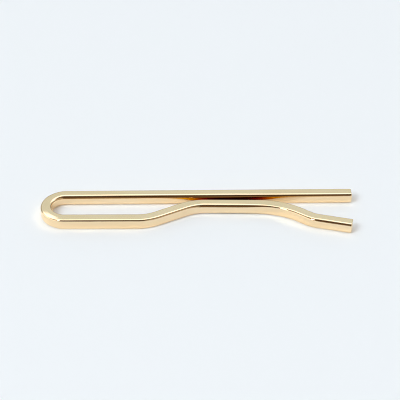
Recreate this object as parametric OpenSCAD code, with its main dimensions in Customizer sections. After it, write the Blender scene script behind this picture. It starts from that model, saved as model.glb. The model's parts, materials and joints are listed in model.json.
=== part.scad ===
// Spring tie clip, bent from one length of square polished wire.
// It lies on its side, as it would on a table. X runs along the front bar towards the
// open ends, Y runs from the spring leg towards the outer face of the front bar, and Z is up.
// The origin is under the middle of the clip's outline, on the plane that it lies on.

/* [Wire] */
// Thickness of the square wire, across its flats
wire = 2; // [1.6:0.1:2.4]
// Radius along the wire's four long edges
edge_r = 0.3; // [0.1:0.05:0.4]
// Radius that deburring leaves round the two cut ends
cut_r = 0.15; // [0.05:0.05:0.3]

/* [Bow and front bar] */
// Overall length, from the crown of the bow to the end of the front bar
clip_len = 57; // [54:0.5:70]
// Clear width inside the bow
bow_clear = 5; // [4.4:0.1:6]

/* [Spring leg] */
// Length of the run, from the bow to the corner of the first bend
run_len = 15; // [10:0.5:18]
// Angle by which the run leans away from the bar
run_splay = 0.5; // [0:0.1:2]
// Angle at which the ramp rises towards the bar
ramp_angle = 27.2; // [22:0.2:34]
// Gap between the bar and the grip, where the grip starts
grip_gap = 0.9; // [0.6:0.1:1.6]
// Angle by which the grip leans away from the bar
grip_splay = 1.2; // [0:0.1:2]
// Angle at which the flare falls away from the bar
flare_angle = 36; // [30:0.5:40]
// Length of the flare, from corner to corner
flare_len = 6.8; // [6:0.1:9]
// Angle of the tip to the bar
tip_angle = 14.7; // [10:0.1:20]
// Length of the tip, from the corner of the last bend to its cut end
tip_len = 7.1; // [4:0.1:9]
// Distance by which the tip stops short of the end of the bar
tip_setback = 0.6; // [0:0.1:2]

/* [Bends of the leg, at the middle of the wire] */
// Radius of the bend between the run and the ramp
ramp_bend_r = 8; // [3:0.2:10]
// Radius of the bend between the ramp and the grip
grip_bend_r = 8.6; // [3:0.2:10]
// Radius of the bend between the grip and the flare
flare_bend_r = 12.4; // [4:0.2:14]
// Radius of the bend between the flare and the tip
tip_bend_r = 4.8; // [2:0.2:7]

/* [Hidden] */

$fn = 96;
pale_gold = [0.87, 0.78, 0.6];
// Bending squeezes the wire of the leg, which leaves each bend a hair wider in plan
bend_swell = 0.01;
// Length by which a straight runs into the bend beside it
bend_lap = 0.1;

// The bow is a half turn less the splay of the run
bow_mean_r = (bow_clear + wire) / 2;
bow_outer_r = bow_clear / 2 + wire;
bow_turn = 180 - run_splay;
bar_len = clip_len - bow_outer_r;

// Turns of the leg's bends, positive towards the bar
ramp_turn = ramp_angle + run_splay;
grip_turn = -ramp_angle - grip_splay;
flare_turn = grip_splay - flare_angle;
tip_turn = flare_angle - tip_angle;

// What each bend takes off the straight lengths on its two sides
ramp_setoff = setoff(ramp_turn, ramp_bend_r);
grip_setoff = setoff(grip_turn, grip_bend_r);
flare_setoff = setoff(flare_turn, flare_bend_r);
tip_setoff = setoff(tip_turn, tip_bend_r);

// Corners of the leg's centre line, as seen from the centre of the bow.
// The ramp is as long as its rise needs, and the grip takes the length that is left.
leg_start = -bow_mean_r * [sin(run_splay), cos(run_splay)];
ramp_corner = leg_start + run_len * heading(-run_splay);
ramp_rise = bow_clear / 2 - grip_gap - wire / 2 - ramp_corner.y;
ramp_len = ramp_rise / sin(ramp_angle);
grip_corner = ramp_corner + ramp_len * heading(ramp_angle);
flare_reach = flare_len * cos(flare_angle);
tip_reach = tip_len * cos(tip_angle) + wire / 2 * sin(tip_angle);
grip_reach = bar_len - tip_setback - grip_corner.x - flare_reach - tip_reach;
grip_len = grip_reach / cos(grip_splay);
flare_corner = grip_corner + grip_len * heading(-grip_splay);
tip_corner = flare_corner + flare_len * heading(-flare_angle);
tip_end = tip_corner + tip_len * heading(-tip_angle);

// Lowest point of the outline: the rounded outer corner of the tip's cut end
tip_low = tip_end.y + cut_r * sin(tip_angle) - (wire / 2 - cut_r) * cos(tip_angle) - cut_r;

// Centre of the bow in the part's own frame
bow_centre = [bow_outer_r - clip_len / 2, -(bow_outer_r + tip_low) / 2, wire / 2];

// Each step of the leg is a straight length, then a turn and its radius
leg_steps = [
    [run_len - ramp_setoff, ramp_turn, ramp_bend_r],
    [ramp_len - ramp_setoff - grip_setoff, grip_turn, grip_bend_r],
    [grip_len - grip_setoff - flare_setoff, flare_turn, flare_bend_r],
    [flare_len - flare_setoff - tip_setoff, tip_turn, tip_bend_r]
];

function heading(angle) = [cos(angle), sin(angle)];

function setoff(turn, radius) = radius * tan(abs(turn) / 2);

// Rectangle with rounded corners, about the origin
module rounded_rect(length, width, radius) {
    square([length - 2 * radius, width], center = true);
    square([length, width - 2 * radius], center = true);
    for (x = [-1, 1], y = [-1, 1])
        translate([x * (length / 2 - radius), y * (width / 2 - radius)])
            circle(r = radius);
}

// Straight wire along X, from start to finish
module straight_wire(start, finish) {
    translate([start, 0, 0])
        rotate([90, 0, 90])
            linear_extrude(finish - start)
                rounded_rect(wire, wire, edge_r);
}

// Straight wire along X, from start to finish, cut square and deburred at its finish
module cut_wire(start, finish) {
    intersection() {
        straight_wire(start, finish);
        deburred_slab(finish);
        rotate([90, 0, 0])
            deburred_slab(finish);
    }
}

// Slab as thick and wide as the wire, with its outline rounded where it reaches the finish
module deburred_slab(finish) {
    linear_extrude(wire, center = true)
        rounded_rect(2 * finish, wire, cut_r);
}

// Bend of the wire that leaves the origin along X, positive turns to the left
module bent_wire(turn, radius, width = wire) {
    side = sign(turn);
    translate([0, side * radius, 0])
        rotate([0, 0, side > 0 ? -90 : 90 + turn])
            rotate_extrude(angle = abs(turn))
                translate([radius, 0])
                    rounded_rect(width, wire, edge_r);
}

// Moves the children to the far end of a bend
module after_bend(turn, radius) {
    translate([radius * sin(abs(turn)), sign(turn) * radius * (1 - cos(turn)), 0])
        rotate([0, 0, turn])
            children();
}

// Steps of the leg from the numbered one on, with the cut tip after the last
module wire_steps(from = 0) {
    start = from > 0 ? -bend_lap : 0;
    if (from < len(leg_steps)) {
        straight = leg_steps[from][0];
        turn = leg_steps[from][1];
        radius = leg_steps[from][2];
        straight_wire(start, straight + bend_lap);
        translate([straight, 0, 0]) {
            bent_wire(turn, radius, wire + bend_swell);
            after_bend(turn, radius)
                wire_steps(from + 1);
        }
    } else {
        cut_wire(start, tip_len - tip_setoff);
    }
}

// The straight front of the clip, which shows on the tie
module front_bar() {
    color(pale_gold)
        translate(bow_centre)
            translate([0, bow_mean_r, 0])
                cut_wire(0, bar_len);
}

// The half turn at the closed end, which is the spring
module bow() {
    color(pale_gold)
        translate(bow_centre)
            translate([0, bow_mean_r, 0])
                rotate([0, 0, 180])
                    bent_wire(bow_turn, bow_mean_r);
}

// The back of the clip: run, ramp, grip, flare and tip
module spring_leg() {
    color(pale_gold)
        translate(bow_centre)
            rotate([0, 0, -run_splay])
                translate([0, -bow_mean_r, 0])
                    wire_steps();
}

front_bar();
bow();
spring_leg();
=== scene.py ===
"""A spring tie clip of square, polished, pale-gold wire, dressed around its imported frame.

The clip is one length of wire, bent in one plane, and it lies on its side. It shows as three
pieces, one for each stretch that the frame knows: the front bar, the bow and the spring leg. One
Geometry Nodes tree bends and sweeps the whole wire along the corners of its centre line, and
each piece keeps its own stretch of it, so the pieces meet without a seam.
"""

import json
import logging
import math
from collections.abc import Mapping, Sequence
from dataclasses import dataclass, field
from enum import Enum

import bmesh
import bpy
from mathutils import Matrix, Vector


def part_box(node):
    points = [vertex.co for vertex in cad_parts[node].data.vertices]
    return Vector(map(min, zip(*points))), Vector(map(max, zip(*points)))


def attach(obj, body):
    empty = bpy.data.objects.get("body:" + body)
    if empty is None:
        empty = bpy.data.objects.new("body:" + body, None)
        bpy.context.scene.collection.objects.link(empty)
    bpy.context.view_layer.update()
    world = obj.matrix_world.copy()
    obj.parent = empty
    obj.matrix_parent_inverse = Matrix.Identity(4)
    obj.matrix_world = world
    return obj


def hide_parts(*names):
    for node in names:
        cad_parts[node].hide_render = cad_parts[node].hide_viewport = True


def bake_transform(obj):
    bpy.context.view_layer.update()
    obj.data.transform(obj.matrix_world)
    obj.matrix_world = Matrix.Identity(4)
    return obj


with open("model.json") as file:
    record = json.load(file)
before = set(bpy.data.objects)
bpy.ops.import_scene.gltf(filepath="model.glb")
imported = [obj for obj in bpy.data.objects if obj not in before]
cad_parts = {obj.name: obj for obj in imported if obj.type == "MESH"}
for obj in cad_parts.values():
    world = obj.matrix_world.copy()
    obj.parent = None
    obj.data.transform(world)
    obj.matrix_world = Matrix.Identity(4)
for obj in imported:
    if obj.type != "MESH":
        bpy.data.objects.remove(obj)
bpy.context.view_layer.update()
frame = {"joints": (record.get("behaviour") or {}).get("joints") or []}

log = logging.getLogger("tie_clip")

MM = 0.001
MICRON = 1e-6

# Linear red, green and blue
Colour = tuple[float, float, float]

# The middle of the range of a noise
NOISE_MIDDLE = 0.5

# The glossy depth that only rays pass which metal has mirrored at least twice
MIRRORED_TWICE = 1.5


class Body(Enum):
    """The rigid bodies of the frame."""

    BAR = "bar"
    LEG = "leg"


class Stretch(Enum):
    """The stretches of the wire, by the names of their nodes in the frame."""

    FRONT_BAR = "front_bar"
    BOW = "bow"
    SPRING_LEG = "spring_leg"


class Attribute(Enum):
    """The attributes that the wire's tree reads or writes."""

    BEND_RADIUS = "bend_radius"
    STATION = "station"
    CENTRE = "centre"
    SECTION = "section"
    WIRE_PLACE = "wire_place"


# Nodes and their maths


class Signal:
    """A value on its way between nodes, with the operators of plain maths."""

    def __init__(self, graph: "Graph", socket: bpy.types.NodeSocket) -> None:
        """Wraps one output socket of a graph's node."""
        self.graph = graph
        self.socket = socket

    def _math(self, operation: str, *values: object) -> "Signal":
        """Adds a Math node.

        Args:
            operation: The Math node's operation.
            values: The values of its sockets, in order.

        Returns:
            The node's result.
        """
        inputs = dict(enumerate(values))
        return self.graph.out(self.graph.node("ShaderNodeMath", {"operation": operation}, inputs))

    def __add__(self, other: object) -> "Signal":
        """Returns self + other."""
        return self._math("ADD", self, other)

    __radd__ = __add__

    def __sub__(self, other: object) -> "Signal":
        """Returns self - other."""
        return self._math("SUBTRACT", self, other)

    def __rsub__(self, other: object) -> "Signal":
        """Returns other - self."""
        return self._math("SUBTRACT", other, self)

    def __mul__(self, other: object) -> "Signal":
        """Returns self * other."""
        return self._math("MULTIPLY", self, other)

    __rmul__ = __mul__

    def __truediv__(self, other: object) -> "Signal":
        """Returns self / other."""
        return self._math("DIVIDE", self, other)

    def __rtruediv__(self, other: object) -> "Signal":
        """Returns other / self."""
        return self._math("DIVIDE", other, self)

    def __pow__(self, other: object) -> "Signal":
        """Returns self to the power of other."""
        return self._math("POWER", self, other)

    def __rpow__(self, other: object) -> "Signal":
        """Returns other to the power of self."""
        return self._math("POWER", other, self)

    def __mod__(self, other: object) -> "Signal":
        """Returns the remainder of self over other."""
        return self._math("FLOORED_MODULO", self, other)

    def __abs__(self) -> "Signal":
        """Returns self without its sign."""
        return self._math("ABSOLUTE", self)

    def __lt__(self, other: object) -> "Signal":
        """Returns 1 where self is below other, and 0 elsewhere."""
        return self._math("LESS_THAN", self, other)

    def __gt__(self, other: object) -> "Signal":
        """Returns 1 where self is above other, and 0 elsewhere."""
        return self._math("GREATER_THAN", self, other)

    def least(self, other: object) -> "Signal":
        """Returns the lesser of self and other."""
        return self._math("MINIMUM", self, other)

    def most(self, other: object) -> "Signal":
        """Returns the greater of self and other."""
        return self._math("MAXIMUM", self, other)

    def smooth(self, low: float, high: float) -> "Signal":
        """Eases from 0 to 1.

        Args:
            low: Where the result leaves 0.
            high: Where the result reaches 1.

        Returns:
            The eased value.
        """
        node = self.graph.node(
            "ShaderNodeMapRange",
            {"interpolation_type": "SMOOTHSTEP"},
            {"Value": self, "From Min": low, "From Max": high},
        )
        return self.graph.out(node)

    def within(self, half: float, edge: float) -> "Signal":
        """Returns 1 nearer to 0 than half, and 0 further away, eased over edge on both sides."""
        return 1 - abs(self).smooth(half - edge, half + edge)


class Graph:
    """A node tree under construction."""

    def __init__(self, tree: bpy.types.NodeTree) -> None:
        """Starts from an empty tree."""
        self.tree = tree
        tree.nodes.clear()

    def node(
        self,
        kind: str,
        settings: Mapping[str, object] | None = None,
        inputs: Mapping[str | int, object] | None = None,
    ) -> bpy.types.Node:
        """Adds one node.

        Args:
            kind: The node's type.
            settings: Its own properties, which are set before its sockets.
            inputs: Values, signals or nodes for its sockets, by name or by place.

        Returns:
            The new node.
        """
        made = self.tree.nodes.new(kind)
        for name, value in (settings or {}).items():
            setattr(made, name, value)
        for key, value in (inputs or {}).items():
            self._feed(self._pick(made.inputs, key), value)
        return made

    def out(self, node: bpy.types.Node, key: str | int = 0) -> Signal:
        """Returns a node's output, by name or by place, as a signal."""
        return Signal(self, self._pick(node.outputs, key))

    def attribute(self, name: Attribute, data_type: str = "FLOAT") -> Signal:
        """Reads a named attribute of the geometry.

        Args:
            name: The attribute.
            data_type: What it holds.

        Returns:
            Its value.
        """
        node = self.node(
            "GeometryNodeInputNamedAttribute", {"data_type": data_type}, {"Name": name.value}
        )
        return self.out(node)

    def mix_colour(self, share: object, first: object, second: object) -> Signal:
        """Mixes two colours.

        Args:
            share: The share of the second colour.
            first: A colour or a signal.
            second: A colour or a signal.

        Returns:
            The mixed colour.
        """
        inputs = {"Factor": share, "A": first, "B": second}
        return self.out(self.node("ShaderNodeMix", {"data_type": "RGBA"}, inputs), "Result")

    def parts(self, vector: Signal) -> tuple[Signal, Signal, Signal]:
        """Returns the X, Y and Z of a vector."""
        node = self.node("ShaderNodeSeparateXYZ", None, {0: vector})
        return self.out(node, 0), self.out(node, 1), self.out(node, 2)

    def vector(self, x: object, y: object, z: object = 0.0) -> Signal:
        """Returns a vector made of three values."""
        return self.out(self.node("ShaderNodeCombineXYZ", None, {0: x, 1: y, 2: z}))

    def vector_math(self, operation: str, inputs: Mapping[str | int, object]) -> Signal:
        """Returns what a Vector Math node makes of its inputs."""
        return self.out(self.node("ShaderNodeVectorMath", {"operation": operation}, inputs))

    def dot(self, vector: Signal, other: object) -> Signal:
        """Returns the dot product of two vectors."""
        return self.vector_math("DOT_PRODUCT", {0: vector, 1: other})

    def noise(self, vector: Signal) -> Signal:
        """Returns a noise from 0 to 1, with features about one unit wide."""
        return self.out(self.node("ShaderNodeTexNoise", None, {"Vector": vector, "Scale": 1.0}))

    def _feed(self, socket: bpy.types.NodeSocket, value: object) -> None:
        """Links a signal or a node's first output to a socket, or sets the socket's value.

        Args:
            socket: An input of a node.
            value: A signal, a node, an enum or a plain value. A colour needs no alpha.
        """
        if isinstance(value, Signal):
            self.tree.links.new(value.socket, socket)
        elif isinstance(value, bpy.types.Node):
            self.tree.links.new(self._pick(value.outputs, 0), socket)
        elif isinstance(value, Enum):
            socket.default_value = value.value
        elif socket.type == "RGBA":
            socket.default_value = (*value, 1.0)
        else:
            socket.default_value = value

    @staticmethod
    def _pick(sockets: Sequence[bpy.types.NodeSocket], key: str | int) -> bpy.types.NodeSocket:
        """Returns the open socket of that name, or of that place among the open ones."""
        shown = [socket for socket in sockets if socket.enabled]
        if isinstance(key, int):
            return shown[key]
        return next(socket for socket in shown if socket.name == key)


def new_material(name: str) -> tuple[bpy.types.Material, Graph]:
    """Returns a new material and its empty tree."""
    made = bpy.data.materials.new(name)
    made.use_nodes = True
    return made, Graph(made.node_tree)


def add_object(name: str, data: bpy.types.ID) -> bpy.types.Object:
    """Returns a new object that shows the data, linked to the scene."""
    made = bpy.data.objects.new(name, data)
    bpy.context.scene.collection.objects.link(made)
    return made


# Finishes


@dataclass(frozen=True)
class GoldFinish:
    """A finish of the gold wire. Its marks lie in the wire's own coordinates, in metres."""

    name: str

    def material(self) -> bpy.types.Material:
        """Returns the finish as a material."""
        made, graph = new_material(self.name)
        given = graph.node("ShaderNodeAttribute", {"attribute_name": Attribute.WIRE_PLACE.value})
        colour, roughness, height = self.look(graph, graph.out(given, "Vector"))
        bump = graph.node("ShaderNodeBump", None, {"Height": height, "Distance": 1.0})
        surface = graph.node(
            "ShaderNodeBsdfPrincipled",
            None,
            {"Base Color": colour, "Metallic": 1.0, "Roughness": roughness, "Normal": bump},
        )
        graph.node("ShaderNodeOutputMaterial", None, {"Surface": surface})
        return made

    def look(self, graph: Graph, place: Signal) -> tuple[object, Signal, Signal]:
        """Works out what changes over the surface.

        Args:
            graph: The material under construction.
            place: The place along the wire and in its section.

        Returns:
            The colour, the roughness and the height of the surface.
        """
        raise NotImplementedError


@dataclass(frozen=True)
class WireFinish(GoldFinish):
    """Pale gold, buffed along the wire to a soft mirror."""

    name: str = "polished_pale_gold"
    gold: Colour = (0.99, 0.775, 0.505)
    warm_gold: Colour = (0.975, 0.745, 0.465)
    tone_length: float = 9 * MM
    tone_width: float = 2.5 * MM
    tone_fade: tuple[float, float] = (0.35, 0.65)
    streak_length: float = 14 * MM
    streak_width: float = 0.12 * MM
    roughness: float = 0.07
    streak_roughness: float = 0.05
    streak_depth: float = 0.12 * MICRON
    wave_length: float = 5 * MM
    wave_depth: float = 2.0 * MICRON

    def look(self, graph: Graph, place: Signal) -> tuple[object, Signal, Signal]:
        """Returns a colour of two tones, and a roughness and height with fine streaks."""
        tones = self._marks(graph, place, self.tone_length, self.tone_width)
        streaks = self._marks(graph, place, self.streak_length, self.streak_width)
        waves = self._marks(graph, place, self.wave_length, self.wave_length)
        colour = graph.mix_colour(tones.smooth(*self.tone_fade), self.gold, self.warm_gold)
        roughness = self.roughness + self.streak_roughness * (streaks - NOISE_MIDDLE)
        return colour, roughness, streaks * self.streak_depth + waves * self.wave_depth

    def _marks(self, graph: Graph, place: Signal, length: float, width: float) -> Signal:
        """Returns a noise whose marks run along the wire, that long and that wide."""
        sizes = (1 / length, 1 / width, 1 / width)
        return graph.noise(graph.vector_math("MULTIPLY", {0: place, 1: sizes}))


@dataclass(frozen=True)
class CutFinish(GoldFinish):
    """The sawn and filed ends of the wire: the same gold, with file marks straight across."""

    name: str = "filed_pale_gold"
    gold: Colour = (0.97, 0.74, 0.46)
    mark_length: float = 1.2 * MM
    mark_width: float = 0.07 * MM
    roughness: float = 0.26
    mark_roughness: float = 0.16
    mark_depth: float = 2.0 * MICRON

    def look(self, graph: Graph, place: Signal) -> tuple[object, Signal, Signal]:
        """Returns one colour, and a roughness and height with the marks of the file."""
        sizes = (0.0, 1 / self.mark_length, 1 / self.mark_width)
        marks = graph.noise(graph.vector_math("MULTIPLY", {0: place, 1: sizes}))
        roughness = self.roughness + self.mark_roughness * (marks - NOISE_MIDDLE)
        return self.gold, roughness, marks * self.mark_depth


# The wire


def heading(angle: float) -> Vector:
    """Returns the direction at that angle to X, in degrees, in the plane of the clip."""
    return Vector((math.cos(math.radians(angle)), math.sin(math.radians(angle)), 0.0))


def lifted(azimuth: float, elevation: float) -> Vector:
    """Returns the direction at that angle to X in plan, and that far above the plan."""
    rise = math.radians(elevation)
    return math.cos(rise) * heading(azimuth) + Vector((0.0, 0.0, math.sin(rise)))


@dataclass
class WireStock:
    """The square wire before it is bent, and how finely its surface is divided."""

    thickness: float
    edge_radius: float = 0.3 * MM
    crown_share: float = 0.02
    crown_power: float = 4.0
    cut_radius: float = 0.15 * MM
    edge_steps: int = 8
    flat_cuts: int = 8
    bend_steps: int = 72
    ring_step: float = 0.5 * MM
    cut_steps: int = 6


@dataclass
class EdgeWear:
    """How far buffing has rounded the wire's long edges, stretch by stretch.

    The radii that name a stretch hold on the bar's inner side and on the leg's outer side, and
    far_side on the others. Along the bow they pass into each other.
    """

    bar_tip: float = 0.41 * MM
    bar: float = 0.51 * MM
    run: float = 0.26 * MM
    ramp: float = 0.34 * MM
    grip: float = 0.51 * MM
    grip_end: float = 0.22 * MM
    flare: float = 0.32 * MM
    tip: float = 0.41 * MM
    far_side: float = 0.22 * MM
    bar_from: float = 12 * MM
    bar_to: float = 26 * MM
    change_length: float = 4 * MM
    grip_fade: float = 8 * MM
    bow_thinning: float = 0.06
    bow_ease_share: float = 1.2
    unevenness: float = 0.03 * MM
    uneven_length: float = 6 * MM

    def changes(self, line: "CentreLine") -> list[tuple[float, float, float]]:
        """Lists where the radius changes along the wire.

        Args:
            line: The centre line of the wire.

        Returns:
            The start and the end station of each change, and the radius after it.
        """
        half = self.change_length / 2
        to_ramp, to_grip, to_flare, to_tip = line.bend_stations()[2:]
        return [
            (self.bar_from, self.bar_to, self.bar),
            (line.bar_len, line.bar_len + line.bow_len, self.run),
            (to_ramp - half, to_ramp + half, self.ramp),
            (to_grip - half, to_grip + half, self.grip),
            (to_flare - self.grip_fade, to_flare, self.grip_end),
            (to_flare, to_flare + self.change_length, self.flare),
            (to_tip - half, to_tip + half, self.tip),
        ]


@dataclass
class LegShape:
    """The shape of the spring leg: its lengths, its angles to the bar and its bends."""

    run_len: float = 15 * MM
    run_splay: float = 0.5
    ramp_angle: float = 27.2
    grip_gap: float = 0.9 * MM
    grip_splay: float = 1.2
    flare_angle: float = 36.0
    flare_len: float = 6.8 * MM
    tip_angle: float = 14.7
    tip_len: float = 7.1 * MM
    tip_setback: float = 0.6 * MM
    ramp_bend_r: float = 8 * MM
    grip_bend_r: float = 8.6 * MM
    flare_bend_r: float = 12.4 * MM
    tip_bend_r: float = 4.8 * MM


@dataclass
class CentreLine:
    """The corners of the wire's centre line, from the bar's cut end to the tip's."""

    stock: WireStock
    leg: LegShape
    bow_centre: Vector
    bow_radius: float
    bar_end: float
    points: list[Vector] = field(default_factory=list)
    radii: list[float] = field(default_factory=list)
    grip_span: tuple[float, float] = (0.0, 0.0)

    def __post_init__(self) -> None:
        """Works out the corners."""
        bar_y = self.bow_centre.y + self.bow_radius
        bar_tip = Vector((self.bar_end, bar_y, self.bow_centre.z))
        self._cut_end(bar_tip, Vector((-1.0, 0.0, 0.0)))
        self._bow()
        last = self._leg()
        self._cut_end(last, -heading(-self.leg.tip_angle), closing=True)

    @property
    def bar_len(self) -> float:
        """The length of the bar, from its cut end to the bow."""
        return self.bar_end - self.bow_centre.x

    @property
    def bow_len(self) -> float:
        """The length of the bow, along the middle of the wire."""
        return math.radians(180 - self.leg.run_splay) * self.bow_radius

    def bend_stations(self) -> list[float]:
        """Returns the station of the middle of each bend, in order along the wire."""
        stations = []
        travelled = 0.0
        for i in range(1, len(self.points) - 1):
            before = self.points[i] - self.points[i - 1]
            after = self.points[i + 1] - self.points[i]
            turn = before.angle(after)
            saved = 2 * self.radii[i] * math.tan(turn / 2) - self.radii[i] * turn
            travelled += before.length
            if self.radii[i]:
                stations.append(travelled - saved / 2)
            travelled -= saved
        return stations

    def _add(self, point: Vector, radius: float = 0.0) -> None:
        """Adds a corner and the radius that it is bent on."""
        self.points.append(point)
        self.radii.append(radius)

    def _cut_end(self, end: Vector, inward: Vector, closing: bool = False) -> None:
        """Adds a cut end, with close points where deburring rounds it."""
        steps = self.stock.cut_steps
        turns = [math.pi / 2 * i / steps for i in range(steps + 1)]
        depths = [self.stock.cut_radius * (1 - math.cos(turn)) for turn in turns]
        for depth in reversed(depths) if closing else depths:
            self._add(end + depth * inward)

    def _bow(self) -> None:
        """Adds the two corners whose bends make up the bow."""
        splay = math.radians(self.leg.run_splay)
        left = self.bow_centre.x - self.bow_radius
        foot = self.bow_radius * (1 - math.sin(splay)) / math.cos(splay)
        for rise in (self.bow_radius, -foot):
            corner = Vector((left, self.bow_centre.y + rise, self.bow_centre.z))
            self._add(corner, self.bow_radius)

    def _leg(self) -> Vector:
        """Adds the corners of the leg, and returns the middle of its cut end."""
        leg = self.leg
        thickness = self.stock.thickness
        start = self.bow_centre + self.bow_radius * heading(270 - leg.run_splay)
        ramp = start + leg.run_len * heading(-leg.run_splay)
        self._add(ramp, leg.ramp_bend_r)
        grip_y = self.bow_centre.y + self.bow_radius - thickness - leg.grip_gap
        ramp_len = (grip_y - ramp.y) / heading(leg.ramp_angle).y
        grip = ramp + ramp_len * heading(leg.ramp_angle)
        self._add(grip, leg.grip_bend_r)
        flare_step = leg.flare_len * heading(-leg.flare_angle)
        tip_step = leg.tip_len * heading(-leg.tip_angle)
        corner_reach = thickness / 2 * heading(90 - leg.tip_angle).x
        tip_x = self.bar_end - leg.tip_setback - corner_reach
        grip_reach = tip_x - tip_step.x - flare_step.x - grip.x
        flare = grip + grip_reach / heading(-leg.grip_splay).x * heading(-leg.grip_splay)
        self._add(flare, leg.flare_bend_r)
        self.grip_span = grip.x, flare.x
        tip = flare + flare_step
        self._add(tip, leg.tip_bend_r)
        return tip + tip_step


@dataclass
class BentWire:
    """The tree that bends the wire round its corners and keeps one stretch of it.

    In the wire's section, u points away from the inside of the bow and v points up.
    """

    stock: WireStock
    wear: EdgeWear
    line: CentreLine
    sides: bpy.types.Material
    ends: bpy.types.Material
    merge_gap: float = 0.5 * MICRON
    # A face or an edge counts as marked where more than this share of its neighbours is
    some_share: float = 0.25

    def __post_init__(self) -> None:
        """Builds the tree once, for all stretches."""
        self.tree = bpy.data.node_groups.new("bent_wire", "GeometryNodeTree")
        self.sockets: dict[str, str] = {}
        self.graph = Graph(self.tree)
        self._interface()
        self.inputs = self.graph.node("NodeGroupInput")
        swept = self._sweep(self._path(), self._profile())
        worn = self._wear_edges(swept)
        self._close(self._keep(worn))

    def _values(self, start: float, finish: float) -> dict[str, object]:
        """Returns the tree's plain inputs, for the stretch from start to finish."""
        return {
            "Thickness": self.stock.thickness,
            "Edge Radius": self.stock.edge_radius,
            "Edge Steps": self.stock.edge_steps,
            "Flat Cuts": self.stock.flat_cuts,
            "Crown Share": self.stock.crown_share,
            "Crown Power": self.stock.crown_power,
            "Bend Steps": self.stock.bend_steps,
            "Ring Step": self.stock.ring_step,
            "Cut Radius": self.stock.cut_radius,
            "From Station": start,
            "To Station": finish,
            "Sides": self.sides,
            "Ends": self.ends,
        }

    def _interface(self) -> None:
        kinds = {float: "Float", int: "Int", bpy.types.Material: "Material"}
        wanted = {"Corners": "Geometry"}
        wanted |= {name: kinds[type(value)] for name, value in self._values(0.0, 0.0).items()}
        panel = self.tree.interface
        panel.new_socket("Wire", in_out="OUTPUT", socket_type="NodeSocketGeometry")
        for name, kind in wanted.items():
            made = panel.new_socket(name, in_out="INPUT", socket_type="NodeSocket" + kind)
            self.sockets[name] = made.identifier

    def _given(self, name: str) -> Signal:
        """Returns one of the tree's inputs."""
        return self.graph.out(self.inputs, name)

    def _path(self) -> Signal:
        """Rounds the corners on their radii, and notes each point's station and place.

        Returns:
            The curve that the wire follows.
        """
        graph = self.graph
        corners = graph.node("GeometryNodeMeshToCurve", None, {0: self._given("Corners")})
        bent = graph.node(
            "GeometryNodeFilletCurve",
            {"mode": "POLY"},
            {
                "Curve": corners,
                "Count": self._given("Bend Steps"),
                "Radius": graph.attribute(Attribute.BEND_RADIUS),
            },
        )
        line = graph.node("GeometryNodeCurveToMesh", None, {"Curve": bent})
        clean = graph.node(
            "GeometryNodeMergeByDistance", None, {0: line, "Distance": self.merge_gap}
        )
        curve = graph.node("GeometryNodeMeshToCurve", None, {0: clean})
        station = graph.out(graph.node("GeometryNodeSplineParameter"), "Length")
        index = graph.out(graph.node("GeometryNodeInputIndex"))
        following = graph.node(
            "GeometryNodeFieldAtIndex", None, {"Index": index + 1, "Value": station}
        )
        rings = (graph.out(following) - station) / self._given("Ring Step")
        ringed = graph.node("GeometryNodeSubdivideCurve", None, {"Curve": curve, "Cuts": rings})
        noted = self._store(ringed, Attribute.STATION, station)
        place = graph.out(graph.node("GeometryNodeInputPosition"))
        noted = self._store(noted, Attribute.CENTRE, place, "FLOAT_VECTOR")
        upright = graph.node("GeometryNodeSetCurveNormal", {"mode": "Z_UP"}, {0: noted})
        return graph.out(upright)

    def _profile(self) -> Signal:
        """Draws the section of the wire: a square with rounded edges and slightly crowned flats.

        Returns:
            The closed curve of the section.
        """
        graph = self.graph
        side = self._given("Thickness")
        steps = self._given("Edge Steps")
        square = graph.node(
            "GeometryNodeCurvePrimitiveQuadrilateral", None, {"Width": side, "Height": side}
        )
        rounded = graph.node(
            "GeometryNodeFilletCurve",
            {"mode": "POLY"},
            {"Curve": square, "Count": steps, "Radius": self._given("Edge Radius")},
        )
        index = graph.out(graph.node("GeometryNodeInputIndex"))
        on_flat = (index % (steps + 1)) > (steps - 1)
        cuts = on_flat * self._given("Flat Cuts")
        divided = graph.node("GeometryNodeSubdivideCurve", None, {"Curve": rounded, "Cuts": cuts})
        place = graph.out(graph.node("GeometryNodeInputPosition"))
        x, y, _ = graph.parts(place)
        aside = abs(x).least(abs(y)) / (side / 2)
        drawn_in = 1 - self._given("Crown Share") * aside ** self._given("Crown Power")
        moved = graph.vector_math("SCALE", {0: place, 1: drawn_in})
        crowned = graph.node(
            "GeometryNodeSetPosition", None, {"Geometry": divided, "Position": moved}
        )
        return self._store(crowned, Attribute.SECTION, place, "FLOAT_VECTOR")

    def _sweep(self, path: Signal, profile: Signal) -> Signal:
        """Sweeps the section along the path, a little smaller where the cut ends are rounded.

        Args:
            path: The curve that the wire follows.
            profile: The section of the wire.

        Returns:
            The whole wire, open at its ends.
        """
        graph = self.graph
        station = graph.attribute(Attribute.STATION)
        total = graph.out(graph.node("GeometryNodeSplineLength"))
        cut_radius = self._given("Cut Radius")
        half = self._given("Thickness") / 2
        from_end = station.least(total - station) / cut_radius
        inside = 1 - from_end.least(1.0)
        sunk = 1 - (1 - inside * inside) ** 0.5
        swept = graph.node(
            "GeometryNodeCurveToMesh",
            None,
            {"Curve": path, "Profile Curve": profile, "Scale": 1 - sunk * cut_radius / half},
        )
        return graph.out(swept)

    def _keep(self, wire: Signal) -> Signal:
        """Returns the faces of the wire between the wanted stations."""
        graph = self.graph
        station = graph.attribute(Attribute.STATION)
        first = self._given("From Station")
        last = self._given("To Station")
        beyond = self._mean("FACE", (station < first) + (station > last))
        kept = graph.node(
            "GeometryNodeDeleteGeometry",
            {"domain": "FACE"},
            {"Geometry": wire, "Selection": beyond > self.some_share},
        )
        return graph.out(kept)

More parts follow.
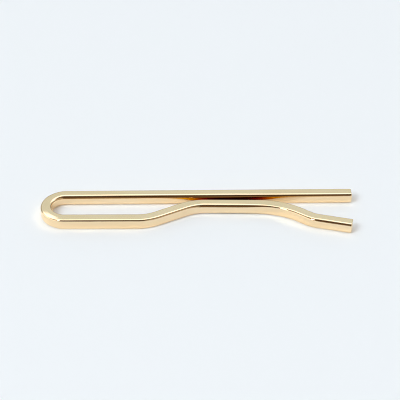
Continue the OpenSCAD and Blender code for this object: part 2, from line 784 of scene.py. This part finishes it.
    def _close(self, wire: Signal) -> None:
        """Closes both ends of the open stretch and gives it its materials."""
        graph = self.graph
        neighbours = graph.out(graph.node("GeometryNodeInputMeshEdgeNeighbors"))
        grown = graph.node(
            "GeometryNodeExtrudeMesh",
            {"mode": "EDGES"},
            {"Mesh": wire, "Selection": neighbours < 2, "Offset Scale": 0.0},
        )
        tops = graph.out(grown, "Top")
        caps = graph.out(grown, "Side")
        rims = self._mean("EDGE", caps) > self.some_share
        sharp = graph.node(
            "GeometryNodeSetShadeSmooth",
            {"domain": "EDGE"},
            {"Geometry": grown, "Selection": rims, "Shade Smooth": False},
        )
        flat = graph.node(
            "GeometryNodeSetShadeSmooth",
            {"domain": "FACE"},
            {"Geometry": sharp, "Selection": caps, "Shade Smooth": False},
        )
        centre = graph.attribute(Attribute.CENTRE, "FLOAT_VECTOR")
        drawn = graph.node(
            "GeometryNodeSetPosition",
            None,
            {"Geometry": flat, "Selection": tops, "Position": centre},
        )
        centred = self._store(drawn, Attribute.SECTION, (0.0, 0.0, 0.0), "FLOAT_VECTOR", tops)
        closed = graph.node(
            "GeometryNodeMergeByDistance",
            None,
            {"Geometry": centred, "Selection": tops, "Distance": self.merge_gap},
        )
        u, v, _ = graph.parts(graph.attribute(Attribute.SECTION, "FLOAT_VECTOR"))
        place = graph.vector(graph.attribute(Attribute.STATION), u, v)
        placed = self._store(closed, Attribute.WIRE_PLACE, place, "FLOAT_VECTOR")
        real = graph.node("GeometryNodeRealizeInstances", None, {0: placed})
        sides = graph.node(
            "GeometryNodeSetMaterial", None, {0: real, "Material": self._given("Sides")}
        )
        ends = graph.node(
            "GeometryNodeSetMaterial",
            None,
            {0: sides, "Selection": caps, "Material": self._given("Ends")},
        )
        graph.node("NodeGroupOutput", None, {0: ends})

    def _wear_edges(self, wire: Signal) -> Signal:
        """Draws the long edges in or out to the radius that they have at each station.

        Args:
            wire: The swept wire, with even edges.

        Returns:
            The wire with its edges worn unevenly.
        """
        graph = self.graph
        even = self._given("Edge Radius")
        half = self._given("Thickness") / 2
        u, v, _ = graph.parts(graph.attribute(Attribute.SECTION, "FLOAT_VECTOR"))
        growth = self._radius(u) - even
        pulls = []
        for part in (abs(u), abs(v)):
            held = part.most(self.merge_gap)
            pull = (1 / (half - even)).least((half - part) / (even * held))
            pulls.append(1 - growth * pull)
        thinned = pulls[1] * (1 - self._thinning() * (u / half).most(0.0))
        centre = graph.attribute(Attribute.CENTRE, "FLOAT_VECTOR")
        place = graph.out(graph.node("GeometryNodeInputPosition"))
        arm = graph.vector_math("SUBTRACT", {0: place, 1: centre})
        pull = graph.vector(pulls[0], pulls[0], thinned)
        drawn = graph.vector_math("MULTIPLY_ADD", {0: arm, 1: pull, 2: centre})
        worn = graph.node("GeometryNodeSetPosition", None, {"Geometry": wire, "Position": drawn})
        return graph.out(worn)

    def _radius(self, u: Signal) -> Signal:
        """Returns the radius of the long edges on u's side, at each station."""
        wear = self.wear
        station = self.graph.attribute(Attribute.STATION)
        bumps = self.graph.noise(self.graph.vector(station / wear.uneven_length, 0.0))
        radius = wear.bar_tip + wear.unevenness * (2 * bumps - 1)
        before = wear.bar_tip
        for start, finish, after in wear.changes(self.line):
            radius = radius + (after - before) * station.smooth(start, finish)
            before = after
        turned = station.smooth(self.line.bar_len, self.line.bar_len + self.line.bow_len)
        near = (u < 0.0) * (1 - turned) + (u > 0.0) * turned
        return wear.far_side + (radius - wear.far_side) * near

    def _thinning(self) -> Signal:
        """Returns the share by which the bow's outside is thinned, at each station."""
        station = self.graph.attribute(Attribute.STATION)
        start = self.line.bar_len
        finish = start + self.line.bow_len
        ease = self.wear.bow_ease_share * self.stock.thickness
        entered = station.smooth(start, start + ease)
        return self.wear.bow_thinning * entered * (1 - station.smooth(finish - ease, finish))

    def _mean(self, domain: str, value: Signal) -> Signal:
        """Returns the mean of a value on the faces or edges of a mesh."""
        node = self.graph.node("GeometryNodeFieldOnDomain", {"domain": domain}, {0: value})
        return self.graph.out(node)

    def _store(
        self,
        geometry: object,
        name: Attribute,
        value: object,
        data_type: str = "FLOAT",
        where: object = True,
    ) -> Signal:
        """Stores a named attribute on points.

        Args:
            geometry: What gets the attribute.
            name: The attribute.
            value: Its value.
            data_type: What it holds.
            where: The points that get it.

        Returns:
            The geometry with the attribute.
        """
        node = self.graph.node(
            "GeometryNodeStoreNamedAttribute",
            {"data_type": data_type, "domain": "POINT"},
            {"Geometry": geometry, "Selection": where, "Name": name, "Value": value},
        )
        return self.graph.out(node)

    def stretch(self, name: str, start: float, finish: float) -> bpy.types.Object:
        """Makes one stretch of the wire as a closed mesh.

        Args:
            name: The new object's name.
            start: The station where it starts.
            finish: The station where it ends.

        Returns:
            The object, with its place in its mesh.
        """
        made = add_object(name, self._corner_mesh(name))
        modifier = made.modifiers.new("bent_wire", "NODES")
        modifier.node_group = self.tree
        for label, value in self._values(start, finish).items():
            modifier[self.sockets[label]] = value
        state = bpy.context.evaluated_depsgraph_get()
        mesh = bpy.data.meshes.new_from_object(made.evaluated_get(state))
        made.modifiers.remove(modifier)
        made.data = mesh
        self._finish_mesh(mesh)
        return made

    def _corner_mesh(self, name: str) -> bpy.types.Mesh:
        """Returns the corners of the centre line as a chain of edges with their bend radii."""
        mesh = bpy.data.meshes.new(name + "_corners")
        steps = range(len(self.line.points) - 1)
        mesh.from_pydata(self.line.points, [(i, i + 1) for i in steps], [])
        radii = mesh.attributes.new(Attribute.BEND_RADIUS.value, "FLOAT", "POINT")
        radii.data.foreach_set("value", self.line.radii)
        return mesh

    @staticmethod
    def _finish_mesh(mesh: bpy.types.Mesh) -> None:
        """Points all faces outwards, and drops the attributes that no material reads."""
        for name in Attribute:
            if name is not Attribute.WIRE_PLACE:
                mesh.attributes.remove(mesh.attributes[name.value])
        shell = bmesh.new()
        shell.from_mesh(mesh)
        bmesh.ops.recalc_face_normals(shell, faces=shell.faces)
        shell.to_mesh(mesh)
        shell.free()


@dataclass
class FrontBar:
    """The straight front of the clip, which shows on the tie."""

    wire: BentWire
    name: str = "front_bar_wire"

    def build(self) -> bpy.types.Object:
        """Builds the bar and fixes it to its body."""
        margin = self.wire.merge_gap
        bar = self.wire.stretch(self.name, -margin, self.wire.line.bar_len + margin)
        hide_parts(Stretch.FRONT_BAR.value)
        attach(bar, Body.BAR.value)
        return bar


@dataclass
class Bow:
    """The half turn at the closed end, which on the real clip bends as the leg springs away from
    the bar.
    """

    wire: BentWire
    name: str = "bow_wire"

    def build(self) -> bpy.types.Object:
        """Builds the bow and bakes its place into its mesh."""
        line = self.wire.line
        margin = self.wire.merge_gap
        start = line.bar_len - margin
        bow = self.wire.stretch(self.name, start, line.bar_len + line.bow_len + margin)
        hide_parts(Stretch.BOW.value)
        inner = Vector((0.0, line.bow_radius - self.wire.stock.thickness / 2, 0.0))
        line.bow_centre + inner
        line.bow_centre - inner
        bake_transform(bow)
        return bow


@dataclass
class SpringLeg:
    """The back of the clip: run, ramp, grip, flare and tip."""

    wire: BentWire
    name: str = "spring_leg_wire"
    # A station past the end of the wire
    beyond_tip: float = 1.0

    def build(self) -> bpy.types.Object:
        """Builds the leg and fixes it to its body."""
        line = self.wire.line
        start = line.bar_len + line.bow_len - self.wire.merge_gap
        leg = self.wire.stretch(self.name, start, self.beyond_tip)
        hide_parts(Stretch.SPRING_LEG.value)
        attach(leg, Body.LEG.value)
        return leg


@dataclass
class TieClip:
    """The whole clip, in its three stretches."""

    leg: LegShape = field(default_factory=LegShape)

    def __post_init__(self) -> None:
        """Lays out the wire's centre line from the frame."""
        low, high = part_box(Stretch.FRONT_BAR.value)
        thickness = high.z - low.z
        hinge = Vector(frame["joints"][0]["pos_m"])
        centre = Vector((hinge.x, hinge.y, (low.z + high.z) / 2))
        bow_radius = (low.y + high.y) / 2 - centre.y
        self.line = CentreLine(WireStock(thickness), self.leg, centre, bow_radius, high.x)

    def build(self) -> list[bpy.types.Object]:
        """Builds the stretches in order along the wire."""
        finishes = (WireFinish().material(), CutFinish().material())
        wire = BentWire(self.line.stock, EdgeWear(), self.line, *finishes)
        return [FrontBar(wire).build(), Bow(wire).build(), SpringLeg(wire).build()]


# The studio


@dataclass(frozen=True)
class Table:
    """The plain pale table that the clip lies on.

    The table's colour in the gap between bar and grip carries painted shade, which only metal that
    is mirrored in metal sees. It stands in for the little light that gets down there, which has
    bounced from wall to wall and lost more of its blue than of its red. So what the metal there
    mirrors of the table is golden at the ends of the gap, and red and then dark further in.
    """

    name: str = "table"
    side: float = 3.0
    colour: Colour = (0.878, 0.895, 0.905)
    # Painted shade in the gap: the tint taken once per bounce, one bounce's worth at the gap's
    # ends, and many more deeper in, where it is darkest
    painted_shade_tint: Colour = (0.86, 0.66, 0.06)
    painted_shade_start: float = 1.0
    painted_shade_start_rise: float = 0.1
    painted_shade_bounces: float = 26.0
    painted_shade_power: float = 4.0
    gap_start: float = 0.0
    gap_end: float = 0.0
    gap_lead: float = 6.0 * MM
    gap_trail: float = 5.0 * MM
    gap_rise: float = 11.2 * MM

    def build(self) -> bpy.types.Object:
        """Lays the table under the clip."""
        mesh = bpy.data.meshes.new(self.name)
        half = self.side / 2
        corners = [(-half, -half, 0), (half, -half, 0), (half, half, 0), (-half, half, 0)]
        mesh.from_pydata(corners, [], [(0, 1, 2, 3)])
        mesh.materials.append(self._material())
        made = add_object(self.name, mesh)
        return made

    def _material(self) -> bpy.types.Material:
        """Returns the table's matt, pale surface, with painted shade in the gap between bar and
        grip.
        """
        made, graph = new_material(self.name)
        path = graph.node("ShaderNodeLightPath")
        along, _, _ = graph.parts(graph.out(graph.node("ShaderNodeTexCoord"), "Object"))
        from_start = along - (self.gap_start - self.gap_lead)
        from_end = (self.gap_end + self.gap_trail) - along
        inward = (from_start.least(from_end) / self.gap_rise).most(0.0).least(1.0)
        # Painted shade: only where metal mirrors metal, the table's colour under the gap is tinted
        # and darkened towards the gap's middle
        deep = graph.out(path, "Glossy Depth") > MIRRORED_TWICE
        first = self.painted_shade_start * inward.smooth(0.0, self.painted_shade_start_rise)
        painted_shade_bounces = deep * (first + self.painted_shade_bounces * inward**self.painted_shade_power)
        colour = [part * tint**painted_shade_bounces for part, tint in zip(self.colour, self.painted_shade_tint)]
        surface = graph.node("ShaderNodeBsdfDiffuse", None, {"Color": graph.vector(*colour)})
        graph.node("ShaderNodeOutputMaterial", None, {"Surface": surface})
        return made


@dataclass(frozen=True)
class Pane:
    """An upright patch of the room, with soft edges. Its sizes are shares of its distance."""

    colour: Colour
    azimuth: float
    half: float
    heights: tuple[float, float] | None = None
    edge: float = 0.06

    def mask(self, graph: Graph, direction: Signal) -> Signal:
        """Draws the patch in the world.

        Args:
            graph: The world under construction.
            direction: The direction that is looked in.

        Returns:
            1 on the patch and 0 beside it.
        """
        ahead = graph.dot(direction, heading(self.azimuth)).most(MM)
        across = graph.dot(direction, heading(self.azimuth + 90)) / ahead
        inside = across.within(self.half, self.edge)
        if self.heights is None:
            return inside
        low, high = self.heights
        _, _, up = graph.parts(direction)
        height = up / ahead
        above = height.smooth(low - self.edge, low + self.edge)
        return inside * above * (1 - height.smooth(high - self.edge, high + self.edge))


@dataclass(frozen=True)
class Studio:
    """The soft light of the room, and what the metal shows of it.

    The room is pale, and brightest overhead. A dark canopy, lighter at its sides, hangs over its
    front half and reaches just past the zenith, with a slot over the clip. Under it the room is in
    shade, and a darker curtain hangs behind the camera. The clip's long edges mirror the canopy
    and the curtain as thin dark lines. A window on the left lights the lower edge of the bow, and
    metal that is mirrored in metal sees little of the room. The table is lit by a plain soft
    fill, with one glow in it at the front left that casts the pale sheen in front of the clip.
    Each fade is where a share of the direction leaves one tone and where it reaches the next.
    """

    backdrop: Colour = (0.863, 0.896, 0.922)
    fill_back: Colour = (0.90, 0.90, 0.90)
    fill_front: Colour = (0.49, 0.49, 0.49)
    fill_turn: float = 0.6
    glow: Colour = (5.9, 6.7, 7.4)
    glow_azimuth: float = 211.0
    glow_elevation: float = 45.0
    glow_fade: tuple[float, float] = (0.955, 0.985)
    horizon: Colour = (0.30, 0.29, 0.27)
    mid_sky: Colour = (0.68, 0.77, 0.79)
    mid_fade: tuple[float, float] = (0.3, 0.56)
    zenith: Colour = (1.7, 1.8, 1.9)
    zenith_fade: tuple[float, float] = (0.635, 0.68)
    front_fade: tuple[float, float] = (-0.45, -0.35)
    side_share: float = 0.45
    under_canopy: Colour = (0.46, 0.41, 0.35)
    canopy: Colour = (0.050, 0.024, 0.008)
    canopy_fade: tuple[float, float] = (0.62, 0.74)
    canopy_side: Colour = (0.26, 0.19, 0.12)
    side_fade: tuple[float, float] = (0.24, 0.42)
    slot: Colour = (0.80, 0.80, 0.80)
    slot_half_length: float = 0.24
    slot_half_width: float = 0.07
    slot_edge: float = 0.02
    curtain: Pane = Pane((0.18, 0.125, 0.08), azimuth=265.0, half=0.42)
    window: Pane = Pane((1.35, 1.35, 1.3), azimuth=195.0, half=0.85, heights=(0.0, 0.76))
    between: Colour = (0.20, 0.11, 0.02)

    def build(self) -> None:
        """Sets the world of the scene."""
        world = bpy.data.worlds.new("studio")
        bpy.context.scene.world = world
        world.use_nodes = True
        graph = Graph(world.node_tree)
        direction = graph.out(graph.node("ShaderNodeTexCoord"), "Generated")
        path = graph.node("ShaderNodeLightPath")
        deep = graph.out(path, "Glossy Depth") > MIRRORED_TWICE
        seen = graph.mix_colour(deep, self._room(graph, direction), self.between)
        # The metal that the camera sees shows the room, and all else gets the fill
        straight = graph.out(path, "Is Glossy Ray") * (graph.out(path, "Diffuse Depth") < 1)
        light = graph.mix_colour(straight, self._fill(graph, direction), seen)
        final = graph.mix_colour(graph.out(path, "Is Camera Ray"), light, self.backdrop)
        background = graph.node("ShaderNodeBackground", None, {"Color": final})
        graph.node("ShaderNodeOutputWorld", None, {"Surface": background})

    def _room(self, graph: Graph, direction: Signal) -> Signal:
        """Paints the room that the metal mirrors.

        Args:
            graph: The world under construction.
            direction: The direction that is looked in.

        Returns:
            The colour in that direction.
        """
        across, ahead, up = graph.parts(direction)
        sky = graph.mix_colour(up.smooth(*self.mid_fade), self.horizon, self.mid_sky)
        sky = graph.mix_colour(up.smooth(*self.zenith_fade), sky, self.zenith)
        curtained = self.curtain.mask(graph, direction)
        below = graph.mix_colour(curtained, self.under_canopy, self.curtain.colour)
        aside = abs(across).smooth(*self.side_fade)
        above = graph.mix_colour(aside, self.canopy, self.canopy_side)
        shade = graph.mix_colour(up.smooth(*self.canopy_fade), below, above)
        front = (-1 * ahead - self.side_share * abs(across)).smooth(*self.front_fade)
        seen = graph.mix_colour(front, sky, shade)
        slot = (
            up.smooth(0.0, self.slot_edge)
            * across.within(self.slot_half_length, self.slot_edge)
            * ahead.within(self.slot_half_width, self.slot_edge)
        )
        seen = graph.mix_colour(slot, seen, self.slot)
        return graph.mix_colour(self.window.mask(graph, direction), seen, self.window.colour)

    def _fill(self, graph: Graph, direction: Signal) -> Signal:
        """Paints the soft fill that lights the table, with the glow in it.

        Args:
            graph: The world under construction.
            direction: The direction that is looked in.

        Returns:
            The light from that direction.
        """
        _, ahead, _ = graph.parts(direction)
        back = ahead.smooth(-self.fill_turn, self.fill_turn)
        fill = graph.mix_colour(back, self.fill_front, self.fill_back)
        near = graph.dot(direction, lifted(self.glow_azimuth, self.glow_elevation))
        return graph.mix_colour(near.smooth(*self.glow_fade), fill, self.glow)


@dataclass(frozen=True)
class KeyLight:
    """The small lamp at the front left of the clip, which glints in its bends."""

    name: str = "key_light"
    azimuth: float = 232.0
    elevation: float = 45.0
    distance: float = 0.8
    side: float = 0.13
    power: float = 0.6

    def build(self) -> bpy.types.Object:
        """Hangs the lamp, aimed at the clip."""
        lamp = bpy.data.lights.new(self.name, "AREA")
        lamp.shape = "SQUARE"
        lamp.size = self.side
        lamp.energy = self.power
        made = add_object(self.name, lamp)
        back = lifted(self.azimuth, self.elevation)
        made.location = self.distance * back
        made.rotation_euler = back.to_track_quat("Z", "Y").to_euler()
        return made


@dataclass(frozen=True)
class ProductCamera:
    """The camera at the photograph's angle, over the open side of the clip.

    Azimuth 0 looks along Y.
    """

    name: str = "camera"
    target: tuple[float, float, float] = (0.530 * MM, 3.591 * MM, 1.0 * MM)
    azimuth: float = -2.26
    elevation: float = 37.46
    roll: float = -0.91
    distance: float = 250 * MM
    view_width: float = 73.5 * MM
    sensor: float = 36.0
    clip_start: float = 10 * MM

    def build(self) -> bpy.types.Object:
        """Sets up the camera and makes it the scene's."""
        data = bpy.data.cameras.new(self.name)
        data.sensor_width = self.sensor
        data.lens = self.sensor * self.distance / self.view_width
        data.clip_start = self.clip_start
        made = add_object(self.name, data)
        back = lifted(self.azimuth - 90, self.elevation)
        right = heading(self.azimuth)
        axes = Matrix((right, back.cross(right), back)).transposed().to_4x4()
        place = Matrix.Translation(Vector(self.target) + self.distance * back)
        made.matrix_world = place @ axes @ Matrix.Rotation(-math.radians(self.roll), 4, "Z")
        bpy.context.scene.camera = made
        return made


@dataclass(frozen=True)
class RayRules:
    """How far mirrored light is followed, and how soft a pixel is."""

    glossy_bounces: int = 3
    blur_glossy: float = 0.0
    filter_width: float = 1.1

    def apply(self) -> None:
        """Sets the scene's rules."""
        cycles = bpy.context.scene.cycles
        cycles.glossy_bounces = self.glossy_bounces
        cycles.blur_glossy = self.blur_glossy
        cycles.filter_width = self.filter_width


def main() -> None:
    """Builds the clip, the table, the light and the camera."""
    logging.basicConfig(level=logging.INFO, format="%(name)s: %(message)s")
    clip = TieClip()
    for piece in clip.build():
        log.info("%s: %d faces", piece.name, len(piece.data.polygons))
    gap_start, gap_end = clip.line.grip_span
    Table(gap_start=gap_start, gap_end=gap_end).build()
    Studio().build()
    KeyLight().build()
    ProductCamera().build()
    RayRules().apply()
    bpy.context.scene.view_settings.view_transform = "Standard"


if __name__ == "__main__":
    main()
